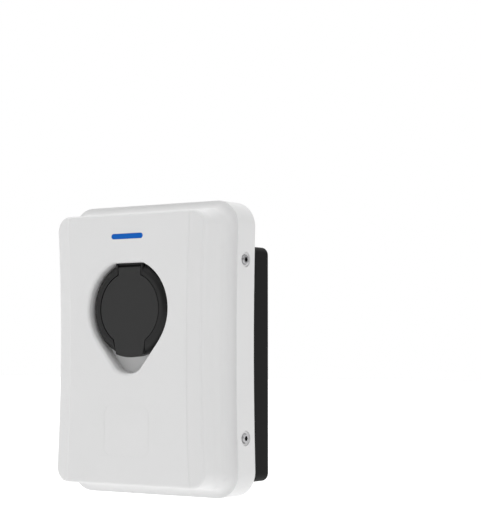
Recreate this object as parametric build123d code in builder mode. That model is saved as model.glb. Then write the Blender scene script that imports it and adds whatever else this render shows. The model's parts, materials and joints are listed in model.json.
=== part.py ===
from build123d import *
import math
import os

os.makedirs("parts", exist_ok=True)

# A wall-mounted charging box with a lidded outlet, in millimetres.
# The origin is the middle of the wall screw pattern, on the wall plane.
# +X is to the right as one faces the box, +Z is up and the wall lies towards +Y.
# A stand-off is a distance from the wall, towards the person facing the box.

# Front cover: a moulded shell of three tiers with waisted sides
cover_width = 207.4
cover_height = 290.0
overall_depth = 112.0
cover_rise = 15.0
cover_wall = 3.0
cover_rear = 40.2
flange_front = 69.6
step_front = 84.3
flare_front = 93.0
flange_corner = 25.0
brow_corner = 15.0
step_inset = 8.8
brow_inset = 11.6
flange_waist = 1.8
step_waist = 2.4
brow_waist = 3.9
cove_radius = 8.0
flare_radius = 20.0
brow_radius = 3.1
flange_edge_radius = 0.7
facet_width = 16.7
facet_drop = 2.75
facet_waist = 3.6
crease_width = 1.2
crease_drop = 0.7
overrun = 1.0
seat_gap = 0.3
running_gap = 0.05

# Recess for the outlet: a teardrop mouth with a rounded edge, and a sloped floor at its tip
lid_drop = 105.7
mouth_radius = 51.8
mouth_flat = 48.4
mouth_edge_radius = 3.2
mouth_corner_radius = 3.0
tip_radius = 20.5
tip_drop = 46.2
recess_depth = 15.5
ramp_depth = 5.5

# Outlet: bezel, shell, contact carrier and contacts
bezel_clearance = 1.3
bezel_sink = 4.0
bezel_edge_radius = 8.0
hinge_block_half_width = 16.3
hinge_block_height = 13.4
strip_bevel = 1.4
bezel_pocket_depth = 4.0
shell_radius = 31.5
shell_wall = 3.0
shell_clearance = 0.5
shell_flat = 23.0
shell_rear_sink = 58.0
shell_flange_radius = 44.0
shell_flange_thickness = 3.0
shell_mouth_sink = 9.5
core_radius = 22.0
core_flat = 17.0
core_sink = 18.0
core_plate_thickness = 4.0
rear_cap_thickness = 3.0
power_contact_radius = 3.9
power_contact_bore = 3.05
signal_contact_radius = 2.3
signal_contact_bore = 1.55
contact_tail_radius = 2.0
contact_tail_length = 8.0
contact_recess = 2.0
contact_floor = 4.0
contact_gap = 0.05
row_spacing = 16.0
lower_row_drop = 13.6
lower_row_offset = 8.0
signal_row_rise = 10.6
signal_row_offset = 7.6
socket_screw_circle_radius = 40.5
socket_screw_radius = 1.45
socket_screw_head_radius = 2.8
socket_screw_head = 2.0
socket_screw_reach = 7.0
socket_screw_gap = 0.3

# Lid and its hinge
lid_radius = 35.9
lid_thickness = 3.5
lid_edge_radius = 0.6
lid_gap = 0.7
hinge_rise = 39.5
hinge_forward = 0.75
hinge_tab_half_width = 13.9
pull_tab_half_width = 19.8
pull_tab_end_half_width = 16.2
pull_tab_reach = 47.6
pull_tab_top_share = 0.8
hinge_pin_radius = 1.25
hinge_pin_half_length = 16.0
knuckle_radius = 2.75
knuckle_inner_half_width = 3.4
spring_wire_radius = 0.3
spring_turns = 4.25
spring_spacing = 1.2
spring_gap = 0.15
spring_leg_length = 7.0
spring_short_leg_length = 2.4
spring_groove_gap = 0.2
seal_width = 2.4
seal_height = 1.7

# Lock above the outlet
lock_width = 44.0
lock_height = 24.0
lock_depth = 24.0
lock_wall = 2.0
lock_saddle = 4.0
bolt_radius = 2.5
bolt_length = 20.0
bolt_gap = 0.08
bolt_tip_gap = 0.4

# Light bar and reader pad in the cover
light_drop = 34.2
light_length = 39.3
light_height = 5.5
light_fit = 0.15
light_flange = 2.5
light_flange_thickness = 1.5
light_sink = 0.2
pad_lift = 64.8
pad_width = 56.0
pad_height = 50.5
pad_corner = 9.5
pad_line = 0.7
pad_line_depth = 0.4
board_thickness = 1.6
light_board_length = 64.0
light_board_height = 14.0
reader_board_size = 62.0
front_board_drop = 5.0
post_radius = 2.6
post_screw_radius = 1.2
post_screw_head_radius = 2.2
post_screw_head = 1.6
post_screw_length = 5.0
led_size = 3.0
led_height = 1.4
led_count = 4
light_post_inset = 4.0
reader_post_inset = 4.0

# Back box: the rear tray that fixes to the wall and fills the cover's rear opening
box_side_inset = 10.9
box_end_inset = 27.8
box_corner = 8.0
box_wall = 3.0
box_floor = 3.5
box_edge_radius = 1.5
plate_sink = 1.8
plate_thickness = 3.0
rim_clearance = 0.4
rim_depth = 20.0
rim_wall = 3.0
wall_hole_radius = 3.25
wall_hole_side_inset = 18.8
wall_hole_end_inset = 19.2
wall_boss_radius = 8.0
wall_boss_height = 3.0
wall_seal_thickness = 2.0

# Side screws that hold the cover
screw_stand_off = 55.3
screw_drop = 58.0
screw_radius = 1.95
screw_head_radius = 5.2
screw_head_height = 2.0
screw_socket_radius = 2.3
screw_socket_depth = 1.2
screw_head_taper = 20.0
screw_length = 12.0
screw_recess_radius = 7.5
screw_recess_depth = 1.7
side_boss_radius = 6.0
side_boss_length = 11.0
insert_radius = 3.0
insert_length = 8.0

# Main board and what it carries
board_width = 126.0
board_height = 156.0
board_rise = 12.0
board_stand_off = 14.0
board_hole_inset = 7.0
board_boss_radius = 4.0
board_screw_radius = 1.45
board_screw_head_radius = 2.9
board_screw_head = 2.0
board_screw_length = 8.0
relay_width = 16.0
relay_length = 30.0
relay_clearance = 5.4
relay_spacing = 21.0
relay_rise = 52.0
relay_count = 4
relay_edge_radius = 1.0
sensor_radius = 15.0
sensor_bore = 8.5
sensor_depth = 12.0
sensor_offset = -38.0
sensor_rise = -6.0
terminal_width = 58.0
terminal_height = 22.0
terminal_depth = 26.0
terminal_offset = 24.0
terminal_rise = -52.0
terminal_ways = 5
terminal_entry_radius = 3.6
terminal_entry_depth = 10.0
terminal_screw_depth = 5.0
supply_width = 34.0
supply_height = 26.0
supply_depth = 20.0
supply_offset = 34.0
supply_rise = -6.0
capacitor_radius = 8.0
capacitor_height = 24.0
capacitor_spacing = 20.0
capacitor_offset = -30.0
capacitor_rise = -46.0

# Cable gland in the bottom wall of the back box
gland_x = 45.0
gland_stand_off = 20.5
gland_thread_radius = 12.4
gland_hole_gap = 0.1
gland_bore = 10.5
gland_flange_radius = 16.5
gland_flange = 4.0
gland_inner_length = 12.0
gland_neck = 6.3
gland_nut_radius = 15.5
gland_nut_length = 9.3
gland_nut_edge_radius = 1.5
gland_mouth_radius = 9.5
gland_seal_bore = 8.0
gland_seal_length = 12.0
lock_nut_radius = 17.5
lock_nut_thickness = 5.0
hex_sides = 6

# Places worked out from the sizes above
brow_half_width = cover_width / 2 - brow_inset
brow_half_height = cover_height / 2 - brow_inset
lid_rise = cover_height / 2 - lid_drop
light_rise = cover_height / 2 - light_drop
pad_rise = pad_lift - cover_height / 2
screw_rise = cover_height / 2 - screw_drop
box_width = cover_width - 2 * box_side_inset
box_height = cover_height - 2 * box_end_inset
wall_hole_x = box_width - 2 * wall_hole_side_inset
wall_hole_z = box_height - 2 * wall_hole_end_inset
socket_z = cover_rise + lid_rise
seat_front = overall_depth - recess_depth
bezel_front = overall_depth - bezel_sink
lid_back = bezel_front - lid_thickness
hinge_z = socket_z + hinge_rise
hinge_stand_off = lid_back + hinge_forward
throat_radius = mouth_radius - mouth_edge_radius
throat_flat = mouth_flat - mouth_edge_radius
throat_tip_radius = tip_radius - mouth_edge_radius
bezel_radius = throat_radius - bezel_clearance
bezel_top = throat_flat - seat_gap
inner_front = overall_depth - cover_wall
base_rear = cover_rear + plate_sink
rim_front = base_rear + rim_depth
screw_z = (cover_rise - screw_rise, cover_rise + screw_rise)


def front_plane(stand_off, height=0):
    """A plane that faces away from the wall, at a stand-off and a height."""
    return Plane(origin=(0, -stand_off, height), x_dir=(1, 0, 0), z_dir=(0, -1, 0))


def side_plane(across, stand_off, height, side=1):
    """A plane whose normal points out of the box's right side, or left side for -1."""
    return Plane(origin=(side * across, -stand_off, height), x_dir=(0, 1, 0), z_dir=(side, 0, 0))


def low_plane(height, across=0, stand_off=0):
    """A plane whose normal points straight down."""
    return Plane(origin=(across, -stand_off, height), x_dir=(1, 0, 0), z_dir=(0, 0, -1))


def rise_plane(height, stand_off):
    """A plane whose normal points straight up, above the middle of the box."""
    return Plane(origin=(0, -stand_off, height), x_dir=(1, 0, 0), z_dir=(0, 0, 1))


def waisted(inset, waist, corner):
    """A rounded rectangle that follows the cover's outline, with sides bowed inwards."""
    middle = cover_width / 2 - inset - waist
    half_height = cover_height / 2 - inset
    end = middle + waist * (half_height / (half_height - corner)) ** 2
    with BuildSketch() as outline:
        with BuildLine():
            Line((-end, half_height), (end, half_height))
            ThreePointArc((end, half_height), (middle, 0), (end, -half_height))
            Line((end, -half_height), (-end, -half_height))
            ThreePointArc((-end, -half_height), (-middle, 0), (-end, half_height))
        make_face()
        fillet(outline.vertices(), corner)
    return outline.sketch


def side_reach(inset, waist, corner, height):
    """Half the width of a waisted outline at a height above its middle."""
    straight = cover_height / 2 - inset - corner
    return cover_width / 2 - inset - waist * (1 - (height / straight) ** 2)


def teardrop(radius, tip, flat):
    """The recess outline round the outlet's centre: a circle with a flat top and a rounded tip below."""
    flat_half = math.sqrt(radius**2 - flat**2)
    turn = math.asin((radius - tip) / tip_drop)
    across, down = math.cos(turn), math.sin(turn)
    with BuildSketch() as outline:
        with BuildLine():
            ThreePointArc((flat_half, flat), (radius, 0), (radius * across, -radius * down))
            Line((radius * across, -radius * down), (tip * across, -tip_drop - tip * down))
            ThreePointArc(
                (tip * across, -tip_drop - tip * down),
                (0, -tip_drop - tip),
                (-tip * across, -tip_drop - tip * down),
            )
            Line((-tip * across, -tip_drop - tip * down), (-radius * across, -radius * down))
            ThreePointArc((-radius * across, -radius * down), (-radius, 0), (-flat_half, flat))
            Line((-flat_half, flat), (flat_half, flat))
        make_face()
        fillet(outline.vertices().group_by(Axis.Y)[-1], mouth_corner_radius)
    return outline.sketch


def flat_topped(radius, flat):
    """A circle cut off by a level line above its centre."""
    with BuildSketch() as outline:
        Circle(radius)
        with Locations((0, flat + radius)):
            Rectangle(2 * radius, 2 * radius, mode=Mode.SUBTRACT)
    return outline.sketch


def lid_outline(gap, top):
    """The lid's outline up to its hinge, or its pocket's where a gap is given."""
    with BuildSketch() as outline:
        Circle(lid_radius + gap)
        with BuildLine():
            Polyline(
                (-hinge_tab_half_width - gap, 0),
                (hinge_tab_half_width + gap, 0),
                (hinge_tab_half_width + gap, top),
                (-hinge_tab_half_width - gap, top),
                close=True,
            )
        make_face()
        with BuildLine():
            Polyline(
                (-pull_tab_half_width - gap, -lid_radius * pull_tab_top_share),
                (-pull_tab_end_half_width - gap, -pull_tab_reach - gap),
                (pull_tab_end_half_width + gap, -pull_tab_reach - gap),
                (pull_tab_half_width + gap, -lid_radius * pull_tab_top_share),
                close=True,
            )
        make_face()
    with BuildSketch() as trimmed:
        add(outline.sketch)
        Circle(pull_tab_reach + gap, mode=Mode.INTERSECT)
    return trimmed.sketch


power_places = (
    (-row_spacing, 0),
    (0, 0),
    (row_spacing, 0),
    (-lower_row_offset, -lower_row_drop),
    (lower_row_offset, -lower_row_drop),
)
signal_places = ((-signal_row_offset, signal_row_rise), (signal_row_offset, signal_row_rise))
light_post_pitch = light_board_length - 2 * light_post_inset
reader_post_pitch = reader_board_size - 2 * reader_post_inset
post_screw_seat = inner_front - front_board_drop - board_thickness
board_pitch_x = board_width - 2 * board_hole_inset
board_pitch_z = board_height - 2 * board_hole_inset
shell_rear = overall_depth - shell_rear_sink
core_rear = shell_rear
core_front = overall_depth - core_sink
contact_tail_end = shell_rear - contact_tail_length
board_face = board_stand_off + board_thickness
relay_height = contact_tail_end - relay_clearance - board_face
flange_back = seat_front - cover_wall - shell_flange_thickness
lock_stand_off = flange_back - seat_gap - lock_depth / 2
lock_floor = socket_z + shell_radius - lock_saddle
hinge_pocket_radius = knuckle_radius + lid_gap
hinge_pocket_front = bezel_front - hinge_stand_off
coil_radius = hinge_pin_radius + spring_gap + spring_wire_radius
coil_half_width = spring_turns * spring_spacing / 2
coil_pocket_radius = coil_radius + spring_wire_radius + spring_groove_gap
groove_depth = hinge_forward + coil_pocket_radius
leg_drift = spring_leg_length * spring_spacing / (2 * math.pi * coil_radius)
groove_width = 2 * (spring_wire_radius + spring_groove_gap) + leg_drift
rim_inset = cover_wall + rim_clearance
rim_outline = waisted(rim_inset, flange_waist, flange_corner - rim_inset)
rim_hollow = waisted(rim_inset + rim_wall, flange_waist, flange_corner - rim_inset - rim_wall)
rim_side = side_reach(rim_inset, flange_waist, flange_corner, screw_rise)
boss_end = rim_side - side_boss_length
screw_seat = side_reach(screw_recess_depth, flange_waist, flange_corner, screw_rise)
screw_socket_seat = screw_seat + screw_head_height - screw_socket_depth


def tier_stack(inset):
    """The cover's stepped form; with an inset it is the hollow inside the shell."""
    flange = waisted(inset, flange_waist, flange_corner - inset)
    step = waisted(step_inset + inset, step_waist, flange_corner - step_inset - inset)
    brow = waisted(brow_inset + inset, brow_waist, brow_corner - inset)
    with BuildPart() as form:
        with BuildSketch(front_plane(cover_rear - inset, cover_rise)):
            add(flange)
        extrude(amount=flange_front - cover_rear)
        with BuildSketch(front_plane(flange_front - inset, cover_rise)):
            add(step)
        extrude(amount=step_front - flange_front)
        with BuildSketch(front_plane(step_front - inset, cover_rise)):
            add(step)
        with BuildSketch(front_plane(flare_front - inset, cover_rise)):
            add(brow)
        loft(ruled=True)
        with BuildSketch(front_plane(flare_front - inset, cover_rise)):
            add(brow)
        extrude(amount=overall_depth - flare_front)
    return form.part


def facet_cut(inset, side):
    """A long wedge that bevels one side of the front face beyond a small step."""
    crease = brow_half_width - facet_waist - facet_width - inset
    bow_radius = (brow_half_height**2 + facet_waist**2) / (2 * facet_waist)
    reach = 2 * facet_width
    slope = (facet_drop - crease_drop) / (facet_width - crease_width)
    front = -(overall_depth - inset)
    with BuildPart() as wedge:
        with BuildSketch(Plane.XY.offset(cover_rise)):
            with BuildLine():
                Polyline(
                    (side * crease, front),
                    (side * (crease + crease_width), front + crease_drop),
                    (side * (crease + reach), front + crease_drop + (reach - crease_width) * slope),
                    (side * (crease + reach), front - facet_drop),
                    (side * crease, front - facet_drop),
                    close=True,
                )
            make_face()
        revolve(axis=Axis((side * (crease + bow_radius), 0, cover_rise), (0, 1, 0)))
    return wedge.part


# Front cover
cover_body = tier_stack(0)
cover_hollow = tier_stack(cover_wall)
outer_facets = [facet_cut(0, 1), facet_cut(0, -1)]
inner_facets = [facet_cut(cover_wall, 1), facet_cut(cover_wall, -1)]
throat_outline = teardrop(throat_radius, throat_tip_radius, throat_flat)
cup_outline = teardrop(throat_radius + cover_wall, throat_tip_radius + cover_wall, throat_flat + cover_wall)

with BuildPart() as shell_hollow:
    add(cover_hollow)
    add(inner_facets, mode=Mode.SUBTRACT)

# The sloped floor that lets a finger in below the lid's pull tab
ramp_top = Vector(0, ramp_depth - overall_depth, socket_z - tip_drop - throat_tip_radius)
ramp_foot = Vector(0, -seat_front, socket_z - throat_radius)
ramp_run = ramp_foot - ramp_top
ramp_plane = Plane(origin=ramp_top, x_dir=(1, 0, 0), z_dir=(0, -ramp_run.Z, ramp_run.Y))
with BuildPart() as finger_ramp:
    with BuildSketch(front_plane(seat_front - cover_wall / 2, socket_z)):
        add(throat_outline)
        Circle(throat_radius, mode=Mode.SUBTRACT)
        with Locations((0, throat_radius)):
            Rectangle(2 * (throat_radius + overrun), 2 * throat_radius, mode=Mode.SUBTRACT)
    extrude(amount=recess_depth)
    split(bisect_by=ramp_plane, keep=Keep.BOTTOM)

with BuildPart() as front_cover:
    add(cover_body)
    ledge = front_cover.faces().filter_by(Axis.Y).filter_by_position(
        Axis.Y, -flange_front - seat_gap, -flange_front + seat_gap
    )[0]
    fillet(ledge.outer_wire().edges(), flange_edge_radius)
    ledge = front_cover.faces().filter_by(Axis.Y).filter_by_position(
        Axis.Y, -flange_front - seat_gap, -flange_front + seat_gap
    )[0]
    fillet(ledge.inner_wires()[0].edges(), cove_radius)
    add(outer_facets, mode=Mode.SUBTRACT)
    flare_edges = front_cover.edges().filter_by_position(
        Axis.Y, -flare_front - seat_gap, -flare_front + seat_gap
    )
    fillet(flare_edges, flare_radius)
    brow_edges = [
        edge
        for edge in front_cover.edges()
        if edge.center().Y < facet_drop + seat_gap - overall_depth
        and (
            abs(edge.center().Z - cover_rise) > brow_half_height - facet_width / 2
            or abs(edge.center().X) > brow_half_width - facet_width / 2
        )
    ]
    fillet(brow_edges, brow_radius)
    add(shell_hollow.part, mode=Mode.SUBTRACT)
    # Cup behind the mouth, which carries the outlet
    with BuildSketch(front_plane(seat_front - cover_wall, socket_z)):
        add(cup_outline)
    extrude(amount=recess_depth + overrun)
    with BuildSketch(front_plane(seat_front, socket_z)):
        add(throat_outline)
    extrude(amount=recess_depth + overrun, mode=Mode.SUBTRACT)
    fillet(front_cover.faces().sort_by(Axis.Y)[0].inner_wires()[0].edges(), mouth_edge_radius)
    add(finger_ramp.part)
    with BuildSketch(front_plane(seat_front - cover_wall - overrun, socket_z)):
        Circle(shell_radius + shell_clearance)
    extrude(amount=cover_wall + 2 * overrun, mode=Mode.SUBTRACT)
    with BuildSketch(front_plane(seat_front - cover_wall - overrun, socket_z)):
        with PolarLocations(socket_screw_circle_radius, 4, start_angle=45):
            Circle(socket_screw_radius + socket_screw_gap)
    extrude(amount=cover_wall + 2 * overrun, mode=Mode.SUBTRACT)
    # Slot for the light bar and the fine outline of the reader pad
    with BuildSketch(front_plane(inner_front - overrun, cover_rise + light_rise)):
        SlotOverall(light_length, light_height)
    extrude(amount=cover_wall + 2 * overrun, mode=Mode.SUBTRACT)
    with BuildSketch(front_plane(overall_depth - pad_line_depth, cover_rise + pad_rise)):
        RectangleRounded(pad_width, pad_height, pad_corner)
        offset(amount=-pad_line, mode=Mode.SUBTRACT)
    extrude(amount=overrun, mode=Mode.SUBTRACT)
    # Posts that carry the light board and the reader board
    with BuildSketch(front_plane(inner_front - front_board_drop, cover_rise + light_rise)):
        with GridLocations(light_post_pitch, 0, 2, 1):
            Circle(post_radius)
    extrude(amount=front_board_drop + cover_wall / 2)
    with BuildSketch(front_plane(inner_front - front_board_drop, cover_rise + pad_rise)):
        with GridLocations(reader_post_pitch, reader_post_pitch, 2, 2):
            Circle(post_radius)
    extrude(amount=front_board_drop + cover_wall / 2)
    with BuildSketch(front_plane(inner_front - front_board_drop - overrun, cover_rise + light_rise)):
        with GridLocations(light_post_pitch, 0, 2, 1):
            Circle(post_screw_radius + running_gap)
    extrude(amount=front_board_drop + overrun, mode=Mode.SUBTRACT)
    with BuildSketch(front_plane(inner_front - front_board_drop - overrun, cover_rise + pad_rise)):
        with GridLocations(reader_post_pitch, reader_post_pitch, 2, 2):
            Circle(post_screw_radius + running_gap)
    extrude(amount=front_board_drop + overrun, mode=Mode.SUBTRACT)
    # Recessed holes for the side screws
    for side in (1, -1):
        for height in screw_z:
            with BuildSketch(side_plane(screw_seat, screw_stand_off, height, side)):
                Circle(screw_recess_radius)
            extrude(amount=screw_recess_depth + overrun + flange_waist, mode=Mode.SUBTRACT)
            with BuildSketch(side_plane(screw_seat - cover_wall, screw_stand_off, height, side)):
                Circle(screw_radius + seat_gap)
            extrude(amount=cover_wall + overrun, mode=Mode.SUBTRACT)
front_cover.part.label = "front_cover"
export_step(front_cover.part, "parts/front_cover.step")

# Back box: one dark moulding with a deep tray, a ledge and a rim inside the cover
with BuildPart() as back_box:
    with BuildSketch(front_plane(0)):
        RectangleRounded(box_width, box_height, box_corner)
    extrude(amount=base_rear + plate_thickness / 2)
    fillet(back_box.faces().sort_by(Axis.Y)[-1].edges(), box_edge_radius)
    with BuildSketch(front_plane(base_rear, cover_rise)):
        add(rim_outline)
    extrude(amount=rim_depth)
    with BuildSketch(front_plane(base_rear + plate_thickness, cover_rise)):
        add(rim_hollow)
    extrude(amount=rim_depth, mode=Mode.SUBTRACT)
    with BuildSketch(front_plane(box_floor)):
        RectangleRounded(box_width - 2 * box_wall, box_height - 2 * box_wall, box_corner - box_wall)
    extrude(amount=base_rear + plate_thickness, mode=Mode.SUBTRACT)
    # Bosses for the wall screws, the board and the side screws
    with BuildSketch(front_plane(box_floor)):
        with GridLocations(wall_hole_x, wall_hole_z, 2, 2):
            Circle(wall_boss_radius)
    extrude(amount=wall_boss_height)
    with BuildSketch(front_plane(box_floor, board_rise)):
        with GridLocations(board_pitch_x, board_pitch_z, 2, 2):
            Circle(board_boss_radius)
    extrude(amount=board_stand_off - box_floor)
    for side in (1, -1):
        for height in screw_z:
            with BuildSketch(side_plane(boss_end, screw_stand_off, height, side)):
                Circle(side_boss_radius)
            extrude(amount=side_boss_length - rim_wall / 2)
            with BuildSketch(side_plane(boss_end - overrun, screw_stand_off, height, side)):
                Circle(insert_radius)
            extrude(amount=side_boss_length + 3 * overrun, mode=Mode.SUBTRACT)
    with BuildSketch(front_plane(-overrun)):
        with GridLocations(wall_hole_x, wall_hole_z, 2, 2):
            Circle(wall_hole_radius)
    extrude(amount=box_floor + wall_boss_height + 2 * overrun, mode=Mode.SUBTRACT)
    with BuildSketch(front_plane(board_stand_off - board_screw_length, board_rise)):
        with GridLocations(board_pitch_x, board_pitch_z, 2, 2):
            Circle(board_screw_radius + running_gap)
    extrude(amount=board_screw_length + overrun, mode=Mode.SUBTRACT)
    with BuildSketch(low_plane(box_wall + overrun - box_height / 2, gland_x, gland_stand_off)):
        Circle(gland_thread_radius + gland_hole_gap)
    extrude(amount=box_wall + 2 * overrun, mode=Mode.SUBTRACT)
back_box.part.label = "back_box"
export_step(back_box.part, "parts/back_box.step")

# Rubber rings that seal the wall screws
with BuildPart() as wall_seals:
    with BuildSketch(front_plane(box_floor + wall_boss_height)):
        with GridLocations(wall_hole_x, wall_hole_z, 2, 2):
            Circle(wall_boss_radius)
            Circle(wall_hole_radius, mode=Mode.SUBTRACT)
    extrude(amount=wall_seal_thickness)
wall_seals.part.label = "wall_seals"
export_step(wall_seals.part, "parts/wall_seals.step")

# Rubber strip between the rim of the back box and the ledge inside the cover
with BuildPart() as cover_gasket:
    with BuildSketch(front_plane(rim_front, cover_rise)):
        add(rim_outline)
        add(rim_hollow, mode=Mode.SUBTRACT)
    extrude(amount=flange_front - cover_wall - rim_front)
cover_gasket.part.label = "cover_gasket"
export_step(cover_gasket.part, "parts/cover_gasket.step")

# Side screws with hexagon sockets, and the brass inserts that they turn into
with BuildPart() as cover_screws:
    for side in (1, -1):
        for height in screw_z:
            with BuildSketch(side_plane(screw_seat - screw_length, screw_stand_off, height, side)):
                Circle(screw_radius)
            extrude(amount=screw_length)
            with BuildSketch(side_plane(screw_seat, screw_stand_off, height, side)):
                Circle(screw_head_radius)
            extrude(amount=screw_head_height, taper=screw_head_taper)
            with BuildSketch(side_plane(screw_socket_seat, screw_stand_off, height, side)):
                RegularPolygon(screw_socket_radius, hex_sides)
            extrude(amount=screw_socket_depth + overrun, mode=Mode.SUBTRACT)
cover_screws.part.label = "cover_screws"
export_step(cover_screws.part, "parts/cover_screws.step")

with BuildPart() as screw_inserts:
    for side in (1, -1):
        for height in screw_z:
            with BuildSketch(side_plane(rim_side - insert_length, screw_stand_off, height, side)):
                Circle(insert_radius)
                Circle(screw_radius + running_gap, mode=Mode.SUBTRACT)
            extrude(amount=insert_length)
screw_inserts.part.label = "screw_inserts"
export_step(screw_inserts.part, "parts/screw_inserts.step")

# Light bar: a blue guide through the cover, and the board of lamps behind it
with BuildPart() as light_guide:
    with BuildSketch(front_plane(inner_front - light_flange_thickness, cover_rise + light_rise)):
        SlotOverall(light_length + 2 * light_flange, light_height + 2 * light_flange)
    extrude(amount=light_flange_thickness)
    with BuildSketch(front_plane(inner_front, cover_rise + light_rise)):
        SlotOverall(light_length - 2 * light_fit, light_height - 2 * light_fit)
    extrude(amount=cover_wall - light_sink)
light_guide.part.label = "light_guide"
export_step(light_guide.part, "parts/light_guide.step")

with BuildPart() as light_board:
    with BuildSketch(front_plane(inner_front - front_board_drop - board_thickness, cover_rise + light_rise)):
        Rectangle(light_board_length, light_board_height)
        with GridLocations(light_post_pitch, 0, 2, 1):
            Circle(post_screw_radius + seat_gap, mode=Mode.SUBTRACT)
    extrude(amount=board_thickness)
    with BuildSketch(front_plane(inner_front - front_board_drop, cover_rise + light_rise)):
        with GridLocations(light_length / led_count, 0, led_count, 1):
            Rectangle(led_size, led_size)
    extrude(amount=led_height)
light_board.part.label = "light_board"
export_step(light_board.part, "parts/light_board.step")

with BuildPart() as reader_board:
    with BuildSketch(front_plane(inner_front - front_board_drop - board_thickness, cover_rise + pad_rise)):
        RectangleRounded(reader_board_size, reader_board_size, post_radius)
        with GridLocations(reader_post_pitch, reader_post_pitch, 2, 2):
            Circle(post_screw_radius + seat_gap, mode=Mode.SUBTRACT)
    extrude(amount=board_thickness)
reader_board.part.label = "reader_board"
export_step(reader_board.part, "parts/reader_board.step")

with BuildPart() as front_board_screws:
    for rise, rows in ((light_rise, 1), (pad_rise, 2)):
        pitch = light_post_pitch if rows == 1 else reader_post_pitch
        with BuildSketch(front_plane(post_screw_seat - post_screw_head, cover_rise + rise)):
            with GridLocations(pitch, pitch, 2, rows):
                Circle(post_screw_head_radius)
        extrude(amount=post_screw_head)
        with BuildSketch(front_plane(post_screw_seat, cover_rise + rise)):
            with GridLocations(pitch, pitch, 2, rows):
                Circle(post_screw_radius)
        extrude(amount=post_screw_length)
front_board_screws.part.label = "front_board_screws"
export_step(front_board_screws.part, "parts/front_board_screws.step")

# Bezel round the lid: a ring with rounded shoulders and a hinge block at the top, seated in the cover's cup
with BuildPart() as socket_bezel:
    with BuildSketch(front_plane(seat_front, socket_z)):
        Circle(bezel_radius)
    extrude(amount=bezel_front - seat_front)
    fillet(socket_bezel.faces().sort_by(Axis.Y)[0].edges(), bezel_edge_radius)
    with BuildSketch(front_plane(seat_front - overrun, socket_z)):
        with Locations((0, bezel_top + bezel_radius)):
            Rectangle(2 * bezel_radius, 2 * bezel_radius)
    extrude(amount=recess_depth, mode=Mode.SUBTRACT)
    with BuildSketch(front_plane(seat_front, socket_z)):
        with Locations((0, bezel_top - hinge_block_height / 2)):
            Rectangle(2 * hinge_block_half_width, hinge_block_height)
    extrude(amount=bezel_front - seat_front)
    with BuildSketch(front_plane(bezel_front - bezel_pocket_depth, socket_z)):
        add(lid_outline(lid_gap, hinge_rise + hinge_pocket_radius))
    extrude(amount=bezel_pocket_depth + overrun, mode=Mode.SUBTRACT)
    with BuildSketch(front_plane(seat_front - overrun, socket_z)):
        Circle(shell_radius + shell_clearance)
    extrude(amount=recess_depth, mode=Mode.SUBTRACT)
    # Round pocket that the knuckles turn in, and the sloped strip above it that lets the lid open past level
    with BuildSketch(side_plane(-hinge_tab_half_width - lid_gap, hinge_stand_off, hinge_z)):
        Circle(hinge_pocket_radius)
        with BuildLine():
            Polyline(
                (-hinge_pocket_front - overrun, hinge_pocket_radius - overrun),
                (strip_bevel - hinge_pocket_front, hinge_pocket_radius - overrun),
                (strip_bevel - hinge_pocket_front, hinge_pocket_radius),
                (-hinge_pocket_front, hinge_pocket_radius + strip_bevel),
                (-hinge_pocket_front - overrun, hinge_pocket_radius + strip_bevel),
                close=True,
            )
        make_face()
    extrude(amount=2 * (hinge_tab_half_width + lid_gap), mode=Mode.SUBTRACT)
    # Bore for the hinge pin, open on the left, where the pin goes in
    with BuildSketch(side_plane(-bezel_radius, hinge_stand_off, hinge_z)):
        Circle(hinge_pin_radius + running_gap)
    extrude(amount=bezel_radius + hinge_pin_half_length, mode=Mode.SUBTRACT)
    with BuildSketch(front_plane(seat_front - overrun, socket_z)):
        with PolarLocations(socket_screw_circle_radius, 4, start_angle=45):
            Circle(socket_screw_radius + running_gap)
    extrude(amount=socket_screw_reach + overrun, mode=Mode.SUBTRACT)
socket_bezel.part.label = "socket_bezel"
export_step(socket_bezel.part, "parts/socket_bezel.step")

# Outlet shell: a collar with a keyed cavity and a flange behind the cover's cup
shell_front = overall_depth - shell_mouth_sink
cavity_outline = flat_topped(shell_radius - shell_wall, shell_flat)
with BuildPart() as socket_shell:
    with BuildSketch(front_plane(shell_rear, socket_z)):
        Circle(shell_radius)
    extrude(amount=shell_front - shell_rear)
    with BuildSketch(front_plane(flange_back, socket_z)):
        Circle(shell_flange_radius)
    extrude(amount=shell_flange_thickness)
    with BuildSketch(front_plane(shell_rear - overrun, socket_z)):
        add(cavity_outline)
    extrude(amount=overall_depth, mode=Mode.SUBTRACT)
    with BuildSketch(front_plane(flange_back - overrun, socket_z)):
        with PolarLocations(socket_screw_circle_radius, 4, start_angle=45):
            Circle(socket_screw_radius + socket_screw_gap)
    extrude(amount=shell_flange_thickness + 2 * overrun, mode=Mode.SUBTRACT)
    with BuildSketch(rise_plane(socket_z, lock_stand_off)):
        Circle(bolt_radius + bolt_gap)
    extrude(amount=shell_radius + overrun, mode=Mode.SUBTRACT)
socket_shell.part.label = "socket_shell"
export_step(socket_shell.part, "parts/socket_shell.step")

# Plate that closes the rear of the keyed cavity and holds the contacts' rear ends
core_seat = core_rear + core_plate_thickness
with BuildPart() as core_plate:
    with BuildSketch(front_plane(core_rear, socket_z)):
        add(flat_topped(shell_radius - shell_wall - seat_gap, shell_flat - seat_gap))
        with Locations(*power_places):
            Circle(power_contact_radius + contact_gap, mode=Mode.SUBTRACT)
        with Locations(*signal_places):
            Circle(signal_contact_radius + contact_gap, mode=Mode.SUBTRACT)
    extrude(amount=core_plate_thickness)
core_plate.part.label = "core_plate"
export_step(core_plate.part, "parts/core_plate.step")

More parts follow.
